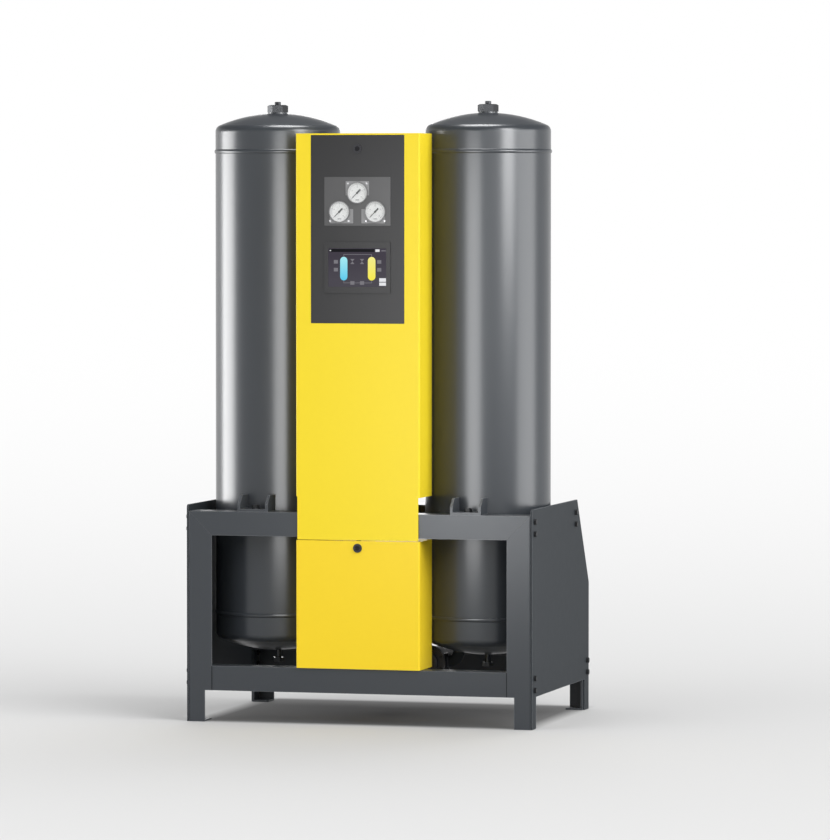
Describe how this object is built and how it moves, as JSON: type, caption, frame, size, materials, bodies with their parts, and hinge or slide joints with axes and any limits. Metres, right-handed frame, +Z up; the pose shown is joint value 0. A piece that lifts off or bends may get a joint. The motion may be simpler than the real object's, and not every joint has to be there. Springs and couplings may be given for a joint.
{
  "type": "desiccant air dryer",
  "caption": "Twin-tower desiccant dryer for compressed air: two upright domed vessels on a bolted angle-steel base, with a tall front cover that carries gauges and a display.",
  "frame": {"origin": "on the floor, at the centre of the four anchor holes", "axes": "+Z up along the vessels, -Y to the front with the cover, +X to the right seen from the front"},
  "size_m": [1.0208, 0.68, 1.7529],
  "materials": {
    "anthracite_paint": "satin powder coat",
    "yellow_paint": "smooth gloss powder coat",
    "panel_grey": "fine matt powder coat",
    "gauge_plate_grey": "fine matt",
    "zinc_steel": "zinc plated",
    "alloy": "bead blasted",
    "brass": "turned",
    "black_plastic": "fine grain",
    "dial_white": "matt print",
    "pointer_black": "matt",
    "lens_glass": "clear",
    "screen": "glossy display",
    "tube_blue": "smooth",
    "desiccant": "packed beads"
  },
  "bodies": {
    "dryer": {"front_frame": "anthracite_paint", "rear_top_rail": "anthracite_paint", "rear_base": "anthracite_paint", "left_side_plate": "anthracite_paint", "right_side_plate": "anthracite_paint", "side_plate_bolts": "anthracite_paint", "left_vessel": "anthracite_paint", "right_vessel": "anthracite_paint", "left_vessel_brackets": "anthracite_paint", "right_vessel_brackets": "anthracite_paint", "bracket_bolts": "zinc_steel", "left_desiccant_bed": "desiccant", "right_desiccant_bed": "desiccant", "lower_screens": "zinc_steel", "upper_screens": "zinc_steel", "left_fill_plug": "anthracite_paint", "right_fill_plug": "anthracite_paint", "vent_plugs": "anthracite_paint", "drain_plugs": "anthracite_paint", "cover_chassis": "zinc_steel", "upper_cover": "yellow_paint", "lower_cover": "yellow_paint", "control_panel": "panel_grey", "gauge_plate": "gauge_plate_grey", "gauge_backplates": "zinc_steel", "top_gauge_case": "black_plastic", "left_gauge_case": "black_plastic", "right_gauge_case": "black_plastic", "gauge_dials": "dial_white", "gauge_lenses": "lens_glass", "display_bezel": "black_plastic", "display_screen": "screen", "controller_box": "black_plastic", "upper_lock_collar": "black_plastic", "lower_lock_collar": "black_plastic", "upper_manifold": "alloy", "left_check_valve": "brass", "right_check_valve": "brass", "purge_orifice": "brass", "outlet_pipe": "anthracite_paint", "dew_point_sensor": "zinc_steel", "lower_manifold": "alloy", "left_inlet_valve": "alloy", "right_inlet_valve": "alloy", "left_valve_bonnet": "alloy", "right_valve_bonnet": "alloy", "bonnet_bolts": "zinc_steel", "connection_bends": "anthracite_paint", "left_silencer": "black_plastic", "right_silencer": "black_plastic", "inlet_pipe": "anthracite_paint", "pilot_valve_block": "black_plastic", "gauge_tubes": "tube_blue"},
    "upper_lock": {"upper_lock_core": "black_plastic"},
    "lower_lock": {"lower_lock_core": "black_plastic"},
    "top_pointer": {"top_gauge_pointer": "pointer_black"},
    "left_pointer": {"left_gauge_pointer": "pointer_black"},
    "right_pointer": {"right_gauge_pointer": "pointer_black"}
  },
  "joints": [
    {"name": "upper_lock_turn", "type": "hinge", "parent": "dryer", "child": "upper_lock", "pos_m": [0, -0.33, 1.617], "axis": [0, 1, 0], "range_deg": [0, 90]},
    {"name": "lower_lock_turn", "type": "hinge", "parent": "dryer", "child": "lower_lock", "pos_m": [0, -0.33, 0.499], "axis": [0, 1, 0], "range_deg": [0, 90]},
    {"name": "top_pointer_turn", "type": "hinge", "parent": "dryer", "child": "top_pointer", "pos_m": [0, -0.342, 1.494], "axis": [0, 1, 0], "range_deg": [0, 270]},
    {"name": "left_pointer_turn", "type": "hinge", "parent": "dryer", "child": "left_pointer", "pos_m": [-0.052, -0.342, 1.441], "axis": [0, 1, 0], "range_deg": [0, 270]},
    {"name": "right_pointer_turn", "type": "hinge", "parent": "dryer", "child": "right_pointer", "pos_m": [0.052, -0.342, 1.441], "axis": [0, 1, 0], "range_deg": [0, 270]}
  ]
}
